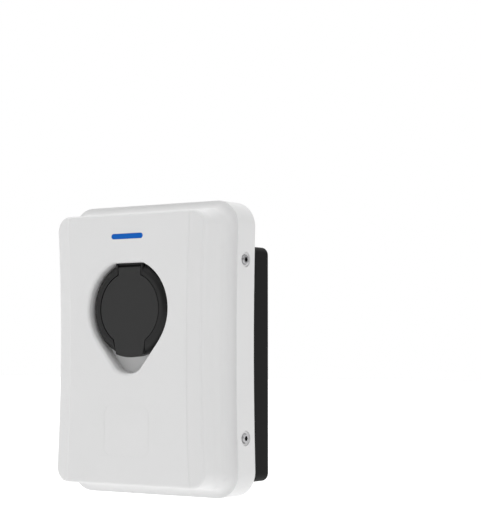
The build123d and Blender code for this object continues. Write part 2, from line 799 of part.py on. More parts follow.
# Contact carrier with a row of three large contacts, two below and two small ones above
with BuildPart() as socket_core:
    with BuildSketch(front_plane(core_seat, socket_z)):
        add(flat_topped(core_radius, core_flat))
    extrude(amount=core_front - core_seat)
    with BuildSketch(front_plane(core_seat - overrun, socket_z)):
        with Locations(*power_places):
            Circle(power_contact_radius + contact_gap)
        with Locations(*signal_places):
            Circle(signal_contact_radius + contact_gap)
    extrude(amount=core_front - core_seat - contact_recess + overrun, mode=Mode.SUBTRACT)
    with BuildSketch(front_plane(core_seat, socket_z)):
        with Locations(*power_places):
            Circle(power_contact_bore)
        with Locations(*signal_places):
            Circle(signal_contact_bore)
    extrude(amount=core_front, mode=Mode.SUBTRACT)
socket_core.part.label = "socket_core"
export_step(socket_core.part, "parts/socket_core.step")

contact_front = core_front - contact_recess
for contact_name, places, radius, bore in (
    ("power_contacts", power_places, power_contact_radius, power_contact_bore),
    ("signal_contacts", signal_places, signal_contact_radius, signal_contact_bore),
):
    with BuildPart() as contacts:
        with BuildSketch(front_plane(shell_rear, socket_z)):
            with Locations(*places):
                Circle(radius)
        extrude(amount=contact_front - shell_rear)
        with BuildSketch(front_plane(core_rear + contact_floor, socket_z)):
            with Locations(*places):
                Circle(bore)
        extrude(amount=contact_front, mode=Mode.SUBTRACT)
        with BuildSketch(front_plane(contact_tail_end, socket_z)):
            with Locations(*places):
                Circle(min(contact_tail_radius, bore))
        extrude(amount=shell_rear - contact_tail_end)
    contacts.part.label = contact_name
    export_step(contacts.part, f"parts/{contact_name}.step")

with BuildPart() as socket_rear_cap:
    with BuildSketch(front_plane(shell_rear - rear_cap_thickness, socket_z)):
        Circle(shell_radius)
        with Locations(*power_places):
            Circle(contact_tail_radius + seat_gap, mode=Mode.SUBTRACT)
        with Locations(*signal_places):
            Circle(contact_tail_radius + seat_gap, mode=Mode.SUBTRACT)
    extrude(amount=rear_cap_thickness)
socket_rear_cap.part.label = "socket_rear_cap"
export_step(socket_rear_cap.part, "parts/socket_rear_cap.step")

with BuildPart() as socket_screws:
    with BuildSketch(front_plane(flange_back - socket_screw_head, socket_z)):
        with PolarLocations(socket_screw_circle_radius, 4, start_angle=45):
            Circle(socket_screw_head_radius)
    extrude(amount=socket_screw_head)
    with BuildSketch(front_plane(flange_back, socket_z)):
        with PolarLocations(socket_screw_circle_radius, 4, start_angle=45):
            Circle(socket_screw_radius)
    extrude(amount=shell_flange_thickness + cover_wall + socket_screw_reach - overrun)
socket_screws.part.label = "socket_screws"
export_step(socket_screws.part, "parts/socket_screws.step")

# Lid: a flat flap with a hinge tab above and a pull tab below
with BuildPart() as lid:
    with BuildSketch(front_plane(lid_back, socket_z)):
        add(lid_outline(0, hinge_rise))
    extrude(amount=lid_thickness)
    fillet(lid.faces().sort_by(Axis.Y)[0].edges().sort_by(Axis.Z)[:-1], lid_edge_radius)
    with BuildSketch(side_plane(-hinge_tab_half_width, hinge_stand_off, hinge_z)):
        Circle(knuckle_radius)
    extrude(amount=2 * hinge_tab_half_width)
    # Room behind the middle of the tab for the coils of the spring
    with BuildSketch(side_plane(-knuckle_inner_half_width, hinge_stand_off, hinge_z)):
        Circle(coil_pocket_radius)
        with Locations((hinge_forward + knuckle_radius, 0)):
            Rectangle(2 * knuckle_radius, 4 * knuckle_radius)
    extrude(amount=2 * knuckle_inner_half_width, mode=Mode.SUBTRACT)
    with BuildSketch(side_plane(-hinge_tab_half_width - overrun, hinge_stand_off, hinge_z)):
        Circle(hinge_pin_radius + running_gap)
    extrude(amount=2 * (hinge_tab_half_width + overrun), mode=Mode.SUBTRACT)
    # Groove in the lid's back for the leg of the spring
    with BuildSketch(low_plane(hinge_z, coil_half_width + groove_width / 2 - spring_wire_radius, lid_back)):
        with Locations((0, groove_depth / 2)):
            Rectangle(groove_width, groove_depth)
    extrude(amount=spring_leg_length + spring_groove_gap, mode=Mode.SUBTRACT)
lid.part.label = "lid"
export_step(lid.part, "parts/lid.step")

with BuildPart() as hinge_pin:
    with BuildSketch(side_plane(-hinge_pin_half_length, hinge_stand_off, hinge_z)):
        Circle(hinge_pin_radius)
    extrude(amount=2 * hinge_pin_half_length)
hinge_pin.part.label = "hinge_pin"
export_step(hinge_pin.part, "parts/hinge_pin.step")

with BuildPart() as lid_seal:
    with BuildSketch(front_plane(lid_back - seal_height, socket_z)):
        Circle(shell_radius - seat_gap)
        Circle(shell_radius - seat_gap - seal_width, mode=Mode.SUBTRACT)
    extrude(amount=seal_height)
lid_seal.part.label = "lid_seal"
export_step(lid_seal.part, "parts/lid_seal.step")

# Spring round the hinge pin: one leg lies in the lid's groove, the other stands in the pocket
with BuildPart() as lid_spring:
    with BuildLine() as coil_path:
        coil = Helix(
            spring_spacing,
            spring_turns * spring_spacing,
            coil_radius,
            center=(-coil_half_width, -hinge_stand_off, hinge_z),
            direction=(1, 0, 0),
        )
        Line(coil @ 0 - (coil % 0) * spring_short_leg_length, coil @ 0)
        Line(coil @ 1, coil @ 1 + (coil % 1) * spring_leg_length)
    spring_wire = coil_path.wires()[0]
    with BuildSketch(Plane(origin=spring_wire @ 0, z_dir=spring_wire % 0)):
        Circle(spring_wire_radius)
    sweep(path=spring_wire, is_frenet=True)
lid_spring.part.label = "lid_spring"
export_step(lid_spring.part, "parts/lid_spring.step")

# Lock above the outlet: a housing, and a bolt that drops into the cavity
with BuildPart() as lock_housing:
    with BuildSketch(front_plane(lock_stand_off - lock_depth / 2, lock_floor + lock_height / 2)):
        RectangleRounded(lock_width, lock_height, lock_wall)
    extrude(amount=lock_depth)
    with BuildSketch(front_plane(lock_stand_off - lock_depth / 2 - overrun, socket_z)):
        Circle(shell_radius + seat_gap)
    extrude(amount=lock_depth + 2 * overrun, mode=Mode.SUBTRACT)
    with BuildSketch(rise_plane(lock_floor - overrun, lock_stand_off)):
        Circle(bolt_radius + bolt_gap)
    extrude(amount=lock_height - lock_wall, mode=Mode.SUBTRACT)
lock_housing.part.label = "lock_housing"
export_step(lock_housing.part, "parts/lock_housing.step")

with BuildPart() as lock_bolt:
    with BuildSketch(rise_plane(socket_z + shell_flat + bolt_tip_gap, lock_stand_off)):
        Circle(bolt_radius)
    extrude(amount=bolt_length)
    chamfer(lock_bolt.faces().sort_by(Axis.Z)[0].edges(), bolt_radius / 4)
lock_bolt.part.label = "lock_bolt"
export_step(lock_bolt.part, "parts/lock_bolt.step")

# Main board, its screws and the parts that it carries
with BuildPart() as main_board:
    with BuildSketch(front_plane(board_stand_off, board_rise)):
        Rectangle(board_width, board_height)
        with GridLocations(board_pitch_x, board_pitch_z, 2, 2):
            Circle(board_screw_radius + seat_gap, mode=Mode.SUBTRACT)
    extrude(amount=board_thickness)
main_board.part.label = "main_board"
export_step(main_board.part, "parts/main_board.step")

with BuildPart() as board_screws:
    with BuildSketch(front_plane(board_face, board_rise)):
        with GridLocations(board_pitch_x, board_pitch_z, 2, 2):
            Circle(board_screw_head_radius)
    extrude(amount=board_screw_head)
    with BuildSketch(front_plane(board_face - board_screw_length, board_rise)):
        with GridLocations(board_pitch_x, board_pitch_z, 2, 2):
            Circle(board_screw_radius)
    extrude(amount=board_screw_length)
board_screws.part.label = "board_screws"
export_step(board_screws.part, "parts/board_screws.step")

for index in range(relay_count):
    with BuildPart() as relay:
        with BuildSketch(front_plane(board_face, board_rise + relay_rise)):
            with Locations(((index - (relay_count - 1) / 2) * relay_spacing, 0)):
                Rectangle(relay_width, relay_length)
        extrude(amount=relay_height)
        fillet(relay.faces().sort_by(Axis.Y)[0].edges(), relay_edge_radius)
    relay.part.label = f"relay_{index + 1}"
    export_step(relay.part, f"parts/relay_{index + 1}.step")

with BuildPart() as current_sensor:
    with BuildSketch(front_plane(board_face, board_rise)):
        with Locations((sensor_offset, sensor_rise)):
            Circle(sensor_radius)
            Circle(sensor_bore, mode=Mode.SUBTRACT)
    extrude(amount=sensor_depth)
current_sensor.part.label = "current_sensor"
export_step(current_sensor.part, "parts/current_sensor.step")

with BuildPart() as supply_terminals:
    with BuildSketch(front_plane(board_face, board_rise)):
        with Locations((terminal_offset, terminal_rise)):
            Rectangle(terminal_width, terminal_height)
    extrude(amount=terminal_depth)
    with BuildSketch(
        low_plane(
            board_rise + terminal_rise - terminal_height / 2 + terminal_entry_depth,
            terminal_offset,
            board_face + terminal_depth / 3,
        )
    ):
        with GridLocations(terminal_width / terminal_ways, 0, terminal_ways, 1):
            Circle(terminal_entry_radius)
    extrude(amount=terminal_entry_depth + overrun, mode=Mode.SUBTRACT)
    with BuildSketch(front_plane(board_face + terminal_depth - terminal_screw_depth, board_rise)):
        with Locations((terminal_offset, terminal_rise)):
            with GridLocations(terminal_width / terminal_ways, 0, terminal_ways, 1):
                Circle(terminal_entry_radius)
    extrude(amount=terminal_screw_depth + overrun, mode=Mode.SUBTRACT)
supply_terminals.part.label = "supply_terminals"
export_step(supply_terminals.part, "parts/supply_terminals.step")

with BuildPart() as power_supply:
    with BuildSketch(front_plane(board_face, board_rise)):
        with Locations((supply_offset, supply_rise)):
            Rectangle(supply_width, supply_height)
    extrude(amount=supply_depth)
    fillet(power_supply.faces().sort_by(Axis.Y)[0].edges(), relay_edge_radius)
power_supply.part.label = "power_supply"
export_step(power_supply.part, "parts/power_supply.step")

for index, side in ((1, -1), (2, 1)):
    with BuildPart() as capacitor:
        with BuildSketch(front_plane(board_face, board_rise)):
            with Locations((capacitor_offset + side * capacitor_spacing / 2, capacitor_rise)):
                Circle(capacitor_radius)
        extrude(amount=capacitor_height)
        fillet(capacitor.faces().sort_by(Axis.Y)[0].edges(), relay_edge_radius)
    capacitor.part.label = f"capacitor_{index}"
    export_step(capacitor.part, f"parts/capacitor_{index}.step")

# Cable gland: body, lock nut inside the box, clamping nut and rubber seal
box_bottom = -box_height / 2
with BuildPart() as gland_body:
    with BuildSketch(low_plane(box_bottom + box_wall + gland_inner_length, gland_x, gland_stand_off)):
        Circle(gland_thread_radius)
    extrude(amount=box_wall + gland_inner_length + gland_flange + gland_neck)
    with BuildSketch(low_plane(box_bottom, gland_x, gland_stand_off)):
        RegularPolygon(gland_flange_radius, hex_sides)
    extrude(amount=gland_flange)
    with BuildSketch(low_plane(box_bottom + box_height / 2, gland_x, gland_stand_off)):
        Circle(gland_bore)
    extrude(amount=box_height, mode=Mode.SUBTRACT)
gland_body.part.label = "gland_body"
export_step(gland_body.part, "parts/gland_body.step")

with BuildPart() as gland_lock_nut:
    with BuildSketch(low_plane(box_bottom + box_wall + lock_nut_thickness, gland_x, gland_stand_off)):
        RegularPolygon(lock_nut_radius, hex_sides)
        Circle(gland_thread_radius + gland_hole_gap, mode=Mode.SUBTRACT)
    extrude(amount=lock_nut_thickness)
gland_lock_nut.part.label = "gland_lock_nut"
export_step(gland_lock_nut.part, "parts/gland_lock_nut.step")

nut_top = box_bottom - gland_flange - seat_gap
with BuildPart() as gland_nut:
    with BuildSketch(low_plane(nut_top, gland_x, gland_stand_off)):
        RegularPolygon(gland_nut_radius, hex_sides)
    extrude(amount=gland_nut_length)
    fillet(gland_nut.faces().sort_by(Axis.Z)[0].edges(), gland_nut_edge_radius)
    with BuildSketch(low_plane(nut_top, gland_x, gland_stand_off)):
        Circle(gland_thread_radius + gland_hole_gap)
    extrude(amount=gland_neck + running_gap, mode=Mode.SUBTRACT)
    with BuildSketch(low_plane(nut_top, gland_x, gland_stand_off)):
        Circle(gland_mouth_radius)
    extrude(amount=gland_nut_length + overrun, mode=Mode.SUBTRACT)
gland_nut.part.label = "gland_nut"
export_step(gland_nut.part, "parts/gland_nut.step")

seal_top = box_bottom - gland_flange - gland_neck + gland_seal_length
with BuildPart() as gland_seal:
    with BuildSketch(low_plane(seal_top, gland_x, gland_stand_off)):
        Circle(gland_bore - running_gap)
        Circle(gland_seal_bore, mode=Mode.SUBTRACT)
    extrude(amount=gland_seal_length)
gland_seal.part.label = "gland_seal"
export_step(gland_seal.part, "parts/gland_seal.step")
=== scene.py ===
import math

import bmesh
import bpy
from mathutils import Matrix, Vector
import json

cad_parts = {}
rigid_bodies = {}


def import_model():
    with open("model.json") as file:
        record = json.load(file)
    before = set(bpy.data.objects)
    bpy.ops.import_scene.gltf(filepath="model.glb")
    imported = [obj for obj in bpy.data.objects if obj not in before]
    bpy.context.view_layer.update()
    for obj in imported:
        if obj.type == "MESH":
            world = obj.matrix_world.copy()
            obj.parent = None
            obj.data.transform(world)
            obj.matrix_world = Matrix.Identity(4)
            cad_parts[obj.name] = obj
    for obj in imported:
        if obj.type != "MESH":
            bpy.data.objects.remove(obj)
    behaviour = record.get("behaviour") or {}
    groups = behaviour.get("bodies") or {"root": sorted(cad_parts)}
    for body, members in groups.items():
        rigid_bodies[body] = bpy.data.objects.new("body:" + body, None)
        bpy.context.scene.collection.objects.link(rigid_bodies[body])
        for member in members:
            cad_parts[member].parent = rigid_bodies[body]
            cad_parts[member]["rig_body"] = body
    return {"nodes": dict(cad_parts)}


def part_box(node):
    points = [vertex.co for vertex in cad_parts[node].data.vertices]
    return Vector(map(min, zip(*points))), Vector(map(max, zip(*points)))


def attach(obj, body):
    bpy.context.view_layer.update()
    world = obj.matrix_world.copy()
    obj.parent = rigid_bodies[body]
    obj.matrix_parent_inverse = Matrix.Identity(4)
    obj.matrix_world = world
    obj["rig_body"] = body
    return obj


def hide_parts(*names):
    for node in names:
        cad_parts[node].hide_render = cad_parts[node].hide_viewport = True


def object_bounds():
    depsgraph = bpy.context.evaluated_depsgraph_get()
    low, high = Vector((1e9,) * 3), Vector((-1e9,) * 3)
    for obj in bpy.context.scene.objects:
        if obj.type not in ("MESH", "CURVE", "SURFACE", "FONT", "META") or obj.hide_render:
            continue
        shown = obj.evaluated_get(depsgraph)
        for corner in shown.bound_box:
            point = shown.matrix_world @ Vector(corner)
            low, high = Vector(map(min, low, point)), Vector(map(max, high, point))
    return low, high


# A wall-mounted charging box with a lidded outlet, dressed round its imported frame.
# Lengths are in metres. +X is to the right as one faces the box, +Z is up, the wall lies at Y = 0.

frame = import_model()
cad_low, cad_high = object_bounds()
nodes = frame["nodes"]

MM = 0.001

# Camera, from the vanishing lines and the outline of the box in the photograph
CAMERA_PLACE = Vector((0.9680, -1.3286, 0.0119))
CAMERA_YAW = math.radians(34.39)
CAMERA_PITCH = math.radians(2.41)
CAMERA_LENS = 109.7
CAMERA_SHIFT = 0.05

# Floor
FLOOR_DROP = 0.30
FLOOR_SIZE = 40.0
FLOOR_GLOW = 0.12
FLOOR_PALE = (0.965, 0.965, 0.965)
FLOOR_DULL = (0.955, 0.955, 0.955)

# Light of the pale room. Each cone is given by the cosines at its rim and at its full strength.
WHITE = (1.0, 1.0, 1.0, 1.0)
ROOM_LIGHT = 0.97
CEILING_LIGHT = 0.65
CEILING_CONE = (0.3, 1.0)
LEFT_LIGHT = 0.50
LEFT_CONE = (0.85, 1.0)
FRONT_SHADE = 0.88
FRONT_SHADE_TURN = math.radians(15.0)
FRONT_SHADE_CONE = (0.5, 0.95)
SIDE_SHADE = 0.60
SIDE_SHADE_TURN = math.radians(125.0)
SIDE_SHADE_CONE = (0.3, 1.0)

# Edges flatter than this are rounded off in the shading of a moulding
SOFT_ANGLE = math.radians(14.0)
SAME_PLANE = 0.999998
MERGE_DISTANCE = 0.002 * MM

# Side screws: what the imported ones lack, as shares of their head's radius and in metres
SCREW_SOCKET_SHARE = 0.5
SCREW_SHANK_SHARE = 0.37
SCREW_FACE_SHARE = 0.88
SCREW_RIM_SHARE = 0.12
SCREW_RIM_ROUND_SHARE = 0.3
SCREW_HEAD_HEIGHT = 2.0 * MM
SCREW_SOCKET_DEPTH = 1.8 * MM
SCREW_SIDES = 48
HEXAGON_TURN = math.pi / 3

# The floor of the finger recess lies this share as high over the outlet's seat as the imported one
RAMP_SHARE = 0.06
RAMP_RISE = 10.0 * MM
RAMP_HALF_WIDTH = 17.6 * MM
RAMP_START_SHARE = 0.8
RAMP_SLACK = 0.05 * MM

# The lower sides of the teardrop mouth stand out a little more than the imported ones
TIP_WIDENING = 3.0 * MM
TIP_START = 25.0 * MM
TIP_FULL = 50.0 * MM
TIP_END = 76.0 * MM
TIP_EASE = 10.0 * MM
TIP_REACH = 50.0 * MM

# The groove round the reader pad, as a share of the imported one's depth
PAD_LINE_SHARE = 0.35
PAD_LINE_DEPTH = 1.0 * MM
PAD_HALF_WIDTH = 40.0 * MM
PAD_TOP = -35.0 * MM
PAD_BOTTOM = -97.0 * MM

# Finishes: colours as linear red, green and blue
COVER_WHITE = (0.72, 0.72, 0.72)
BOX_BLACK = (0.0055, 0.0055, 0.0055)
BEZEL_BLACK = (0.008, 0.008, 0.008)
LID_BLACK = (0.0185, 0.0185, 0.0185)
OUTLET_BLACK = (0.022, 0.022, 0.022)
INNER_BLACK = (0.05, 0.05, 0.055)
TERMINAL_GREY = (0.30, 0.31, 0.32)
GLAND_BLACK = (0.014, 0.014, 0.014)
RUBBER_BLACK = (0.012, 0.012, 0.012)
STEEL = (0.62, 0.62, 0.63)
SIDE_SCREW_STEEL = (0.52, 0.52, 0.53)
# Painted shade: a near-black metal for the floor of the side screws' hexagon sockets, standing for the shade
# deep in each hole
SOCKET_SHADE = (0.035, 0.035, 0.037)
BRASS = (0.72, 0.52, 0.22)
SILVER = (0.75, 0.73, 0.68)
GUIDE_BLUE_DEEP = (0.0015, 0.070, 0.305)
GUIDE_BLUE = (0.002, 0.080, 0.345)
LACQUER_DEEP = (0.008, 0.075, 0.026)
LACQUER_GREEN = (0.014, 0.125, 0.045)
TIN = (0.55, 0.55, 0.53)

# Grains to the metre, and heights of relief
COVER_GRAIN = 2400.0
BOX_GRAIN = 1800.0
GLAND_GRAIN = 900.0
RUBBER_GRAIN = 1500.0
CLOUD_GRAIN = 14.0
TOOL_MARKS = 700.0
FINE_RELIEF = 0.03 * MM
MOULD_RELIEF = 0.05 * MM
RUBBER_RELIEF = 0.06 * MM
BOX_RELIEF = 0.08 * MM
GLAND_RELIEF = 0.1 * MM


def add_camera():
    """The camera stands to the right of the box and looks slightly up."""
    data = bpy.data.cameras.new("camera")
    data.lens = CAMERA_LENS
    data.shift_y = CAMERA_SHIFT
    camera = bpy.data.objects.new("camera", data)
    bpy.context.scene.collection.objects.link(camera)
    camera.location = CAMERA_PLACE
    level = math.cos(CAMERA_PITCH)
    forward = Vector((-math.sin(CAMERA_YAW) * level, math.cos(CAMERA_YAW) * level, math.sin(CAMERA_PITCH)))
    camera.rotation_mode = "QUATERNION"
    camera.rotation_quaternion = forward.to_track_quat("-Z", "Y")
    bpy.context.scene.camera = camera


class Socket:
    """A socket of a node tree that takes part in sums: each operator adds one Math node."""

    def __init__(self, tree, link):
        self.tree = tree
        self.link = link

    def node(self, kind, settings=None, inputs=None, output=0):
        """Adds any node beside this socket's own."""
        return add_node(self.tree, kind, settings, inputs, output)

    def math(self, operation, *values):
        """Adds a Math node."""
        return self.node("ShaderNodeMath", {"operation": operation}, values)

    def __add__(self, other):
        return self.math("ADD", self, other)

    __radd__ = __add__

    def __sub__(self, other):
        return self.math("SUBTRACT", self, other)

    def __rsub__(self, other):
        return self.math("SUBTRACT", other, self)

    def __mul__(self, other):
        return self.math("MULTIPLY", self, other)

    __rmul__ = __mul__

    def __abs__(self):
        return self.math("ABSOLUTE", self)

    def clipped(self, low, high):
        """This value where it lies between two limits, as 0 to 1 with soft ends."""
        settings = {"interpolation_type": "SMOOTHSTEP"}
        return self.node("ShaderNodeMapRange", settings, {0: self, 1: low, 2: high})

    def parts(self):
        """The X, Y and Z of this place or direction."""
        made = self.tree.nodes.new("ShaderNodeSeparateXYZ")
        self.tree.links.new(self.link, made.inputs[0])
        return [Socket(self.tree, output) for output in made.outputs]


def add_node(tree, kind, settings=None, inputs=None, output=0):
    """Adds any node: its settings first, then the values or links of its sockets; gives one output."""
    made = tree.nodes.new(kind)
    for name, value in (settings or {}).items():
        setattr(made, name, value)
    pairs = inputs.items() if isinstance(inputs, dict) else enumerate(inputs or [])
    for key, value in pairs:
        if isinstance(value, Socket):
            tree.links.new(value.link, made.inputs[key])
        else:
            made.inputs[key].default_value = value
    return Socket(tree, made.outputs[output])


def light_room():
    """A pale room: a bright ceiling and left side, and less light from the front and the far right."""
    world = bpy.data.worlds.new("studio")
    bpy.context.scene.world = world
    bpy.context.scene.view_settings.view_transform = "Standard"
    world.use_nodes = True
    tree = world.node_tree
    tree.nodes.clear()
    across, deep, up = add_node(tree, "ShaderNodeTexCoord", output="Generated").parts()
    toward_front = across * math.sin(FRONT_SHADE_TURN) - deep * math.cos(FRONT_SHADE_TURN)
    toward_side = across * math.sin(SIDE_SHADE_TURN) - deep * math.cos(SIDE_SHADE_TURN)
    glow = (
        ROOM_LIGHT
        + CEILING_LIGHT * up.clipped(*CEILING_CONE)
        + LEFT_LIGHT * (0.0 - across).clipped(*LEFT_CONE)
        - FRONT_SHADE * toward_front.clipped(*FRONT_SHADE_CONE)
        - SIDE_SHADE * toward_side.clipped(*SIDE_SHADE_CONE)
    )
    lit = add_node(tree, "ShaderNodeBackground", {}, {"Color": WHITE, "Strength": glow})
    plain = add_node(tree, "ShaderNodeBackground", {}, {"Color": WHITE, "Strength": 1.0})
    seen = add_node(tree, "ShaderNodeLightPath", output="Is Camera Ray")
    shown = add_node(tree, "ShaderNodeMixShader", {}, [seen, lit, plain])
    end = tree.nodes.new("ShaderNodeOutputWorld")
    tree.links.new(shown.link, end.inputs["Surface"])


def add_floor():
    """A wide pale floor below the box."""
    mesh = bpy.data.meshes.new("floor")
    half = FLOOR_SIZE / 2
    level = cad_low.z - FLOOR_DROP
    corners = [(-half, -half, level), (half, -half, level), (half, half, level), (-half, half, level)]
    mesh.from_pydata(corners, [], [(0, 1, 2, 3)])
    floor = bpy.data.objects.new("floor", mesh)
    bpy.context.scene.collection.objects.link(floor)
    mesh.materials.append(floor_paint())


def start_material(name):
    """A new material; gives it with its shader and its object coordinates."""
    material = bpy.data.materials.new(name)
    material.use_nodes = True
    tree = material.node_tree
    return material, tree.nodes["Principled BSDF"], add_node(tree, "ShaderNodeTexCoord", output="Object")


def feed(shader, name, value):
    """Links a value that varies over the surface to a socket of the shader."""
    value.tree.links.new(value.link, shader.inputs[name])


def fix(shader, values):
    """Sets the shader's own sockets that stay the same all over a piece."""
    for name, value in values.items():
        shader.inputs[name].default_value = value


def noise(place, scale, detail=2.0, roughness=0.5):
    """Noise with so many grains to the metre."""
    return place.node(
        "ShaderNodeTexNoise", {}, {"Vector": place, "Scale": scale, "Detail": detail, "Roughness": roughness}
    )


def blend_colours(share, first, second):
    """A colour between two others, each a plain colour or a socket."""
    ends = [end if isinstance(end, Socket) else (*end, 1.0) for end in (first, second)]
    return share.node("ShaderNodeMix", {"data_type": "RGBA"}, {0: share, 6: ends[0], 7: ends[1]}, 2)


def scaled_colour(colour, factor):
    """A colour made lighter or darker."""
    return tuple(part * factor for part in colour)


def bump(height, strength, depth):
    """The surface's own relief, to so many metres."""
    return height.node("ShaderNodeBump", {}, {"Strength": strength, "Distance": depth, "Height": height})


def moulded_plastic(name, colour, roughness, gloss, grain=COVER_GRAIN, depth=MOULD_RELIEF, mottle=0.012):
    """Moulded plastic: fine grain from the mould, faint clouds of tone and drifting gloss."""
    material, shader, place = start_material(name)
    cloud = noise(place, CLOUD_GRAIN, 3.0)
    speck = noise(place, grain, 2.0, 0.6)
    mixed = (cloud * 0.7 + speck * 0.3).clipped(0.35, 0.65)
    feed(shader, "Base Color", blend_colours(
        mixed, scaled_colour(colour, 1 - mottle), scaled_colour(colour, 1 + mottle)
    ))
    feed(shader, "Roughness", roughness + (cloud - 0.5) * 0.06 + (speck - 0.5) * 0.08)
    feed(shader, "Normal", bump(speck, 0.3, depth))
    fix(shader, {"Specular IOR Level": gloss})
    return material


def soft_rubber(name, colour):
    """Matt rubber with a slight bloom."""
    material, shader, place = start_material(name)
    bloom = noise(place, 90.0, 4.0, 0.6)
    feed(shader, "Base Color", blend_colours(bloom.clipped(0.4, 0.75), colour, scaled_colour(colour, 1.8)))
    feed(shader, "Roughness", 0.72 + bloom * 0.15)
    feed(shader, "Normal", bump(noise(place, RUBBER_GRAIN), 0.3, RUBBER_RELIEF))
    fix(shader, {"Specular IOR Level": 0.25})
    return material


def turned_metal(name, colour, roughness):
    """Machined metal with fine tool marks and small dull patches."""
    material, shader, place = start_material(name)
    lines = noise(place, TOOL_MARKS, 3.0, 0.55)
    dull = noise(place, 60.0, 3.0)
    worn = (lines * 0.6 + dull * 0.4).clipped(0.3, 0.6)
    feed(shader, "Base Color", blend_colours(worn, scaled_colour(colour, 0.8), colour))
    feed(shader, "Roughness", roughness + (dull - 0.5) * 0.2)
    feed(shader, "Normal", bump(lines, 0.2, FINE_RELIEF))
    fix(shader, {"Metallic": 1.0})
    return material


def lit_guide():
    """The clear blue light guide, a little brighter along its middle."""
    material, shader, place = start_material("lit_blue_guide")
    low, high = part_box("light_guide")
    rise = place.parts()[2]
    off = abs(rise - (low.z + high.z) / 2) * (2 / (high.z - low.z))
    share = ((1 - off) * 0.8 + noise(place, 120.0) * 0.2).clipped(0.1, 0.9)
    tone = blend_colours(share, GUIDE_BLUE_DEEP, GUIDE_BLUE)
    feed(shader, "Base Color", tone)
    feed(shader, "Emission Color", tone)
    fix(shader, {"Emission Strength": 0.35, "Roughness": 0.35, "Specular IOR Level": 0.1})
    return material


def green_board():
    """Circuit board: green lacquer over copper tracks, with tinned pads."""
    material, shader, place = start_material("circuit_board")
    tracks = place.node(
        "ShaderNodeTexWave", {"wave_type": "BANDS", "bands_direction": "DIAGONAL"},
        {"Vector": place, "Scale": 90.0, "Distortion": 6.0, "Detail": 1.0}, "Fac",
    )
    pads = place.node(
        "ShaderNodeTexVoronoi", {"feature": "DISTANCE_TO_EDGE"}, {"Vector": place, "Scale": 260.0}, "Distance"
    )
    lacquer = blend_colours(tracks.clipped(0.45, 0.55), LACQUER_DEEP, LACQUER_GREEN)
    feed(shader, "Base Color", blend_colours(pads.clipped(0.46, 0.5), lacquer, TIN))
    feed(shader, "Roughness", 0.32 + tracks * 0.1)
    feed(shader, "Normal", bump(tracks, 0.2, FINE_RELIEF))
    return material


def floor_paint():
    """Plain pale matt floor."""
    material, shader, place = start_material("floor_paint")
    feed(shader, "Base Color", blend_colours(noise(place, 3.0).clipped(0.3, 0.7), FLOOR_DULL, FLOOR_PALE))
    fix(shader, {
        "Roughness": 0.9, "Specular IOR Level": 0.1, "Emission Color": WHITE, "Emission Strength": FLOOR_GLOW,
    })
    return material


def flat_regions(mesh):
    """For each face, the area of the flat stretch that it is part of."""
    parent = list(range(len(mesh.polygons)))

    def root(index):
        while parent[index] != index:
            parent[index] = parent[parent[index]]
            index = parent[index]
        return index

    beside = {}
    for face in mesh.polygons:
        for key in face.edge_keys:
            other = beside.setdefault(key, face.index)
            if other != face.index and face.normal.dot(mesh.polygons[other].normal) > SAME_PLANE:
                parent[root(face.index)] = root(other)
    area = {}
    for face in mesh.polygons:
        area[root(face.index)] = area.get(root(face.index), 0.0) + face.area
    return [area[root(face.index)] for face in mesh.polygons]


def soften(mesh):
    """Shades a merged mesh as a moulding: round where its facets turn gently, flat where it is flat."""
    areas = flat_regions(mesh)
    normals = [face.normal.copy() for face in mesh.polygons]
    around = [[] for _ in mesh.vertices]
    for face in mesh.polygons:
        for vertex in face.vertices:
            around[vertex].append(face.index)
    limit = math.cos(SOFT_ANGLE)
    corners = []
    for face in mesh.polygons:
        own = normals[face.index]
        for vertex in face.vertices:
            total = Vector((0.0, 0.0, 0.0))
            for other in around[vertex]:
                if own.dot(normals[other]) > limit:
                    total += normals[other] * areas[other]
            corners.append(total.normalized() if total.length else own)
    for face in mesh.polygons:
        face.use_smooth = True
    mesh.normals_split_custom_set(corners)


def stand_for(piece, node):
    """Lets a finished piece take the place of a CAD node on that node's body."""
    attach(piece, nodes[node]["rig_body"])
    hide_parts(node)


def moulded_copy(name, material, node):
    """A smooth piece in the shape of a CAD node, which it then stands for."""
    mesh = nodes[node].data.copy()
    mesh.name = name
    mesh.materials.clear()
    mesh.materials.append(material)
    shape = bmesh.new()
    shape.from_mesh(mesh)
    bmesh.ops.remove_doubles(shape, verts=shape.verts, dist=MERGE_DISTANCE)
    bmesh.ops.dissolve_degenerate(shape, edges=shape.edges, dist=MERGE_DISTANCE)
    shape.to_mesh(mesh)
    shape.free()
    soften(mesh)
    piece = bpy.data.objects.new(name, mesh)
    bpy.context.scene.collection.objects.link(piece)
    stand_for(piece, node)
    return piece


def lower_ramp(cover):
    """Sinks the floor of the finger recess in the cover's copy."""
    seat_low, seat_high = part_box("socket_bezel")
    seat = seat_high.y
    middle = (seat_low + seat_high) / 2
    reach = (seat_high.x - seat_low.x) / 2
    for vertex in cover.data.vertices:
        place = vertex.co
        below = middle.z - place.z
        outside = math.hypot(place.x - middle.x, below) > reach
        if outside and below > reach * RAMP_START_SHARE and abs(place.x - middle.x) < RAMP_HALF_WIDTH:
            if RAMP_SLACK < seat - place.y < RAMP_RISE + RAMP_SLACK:
                place.y = seat - (seat - place.y) * RAMP_SHARE


def widen_tip(cover):
    """Makes the tip of the teardrop recess blunter in the cover's copy."""
    low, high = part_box("socket_bezel")
    middle = (low + high) / 2
    reach = (high.x - low.x) / 2
    for vertex in cover.data.vertices:
        place = vertex.co
        aside = place.x - middle.x
        below = middle.z - place.z
        if TIP_START < below < TIP_END and abs(aside) < TIP_REACH and math.hypot(aside, below) > reach:
            share = min((below - TIP_START) / (TIP_FULL - TIP_START), 1.0)
            eased = share * share * (3 - 2 * share)
            place.x += TIP_WIDENING * eased * max(-1.0, min(aside / TIP_EASE, 1.0))


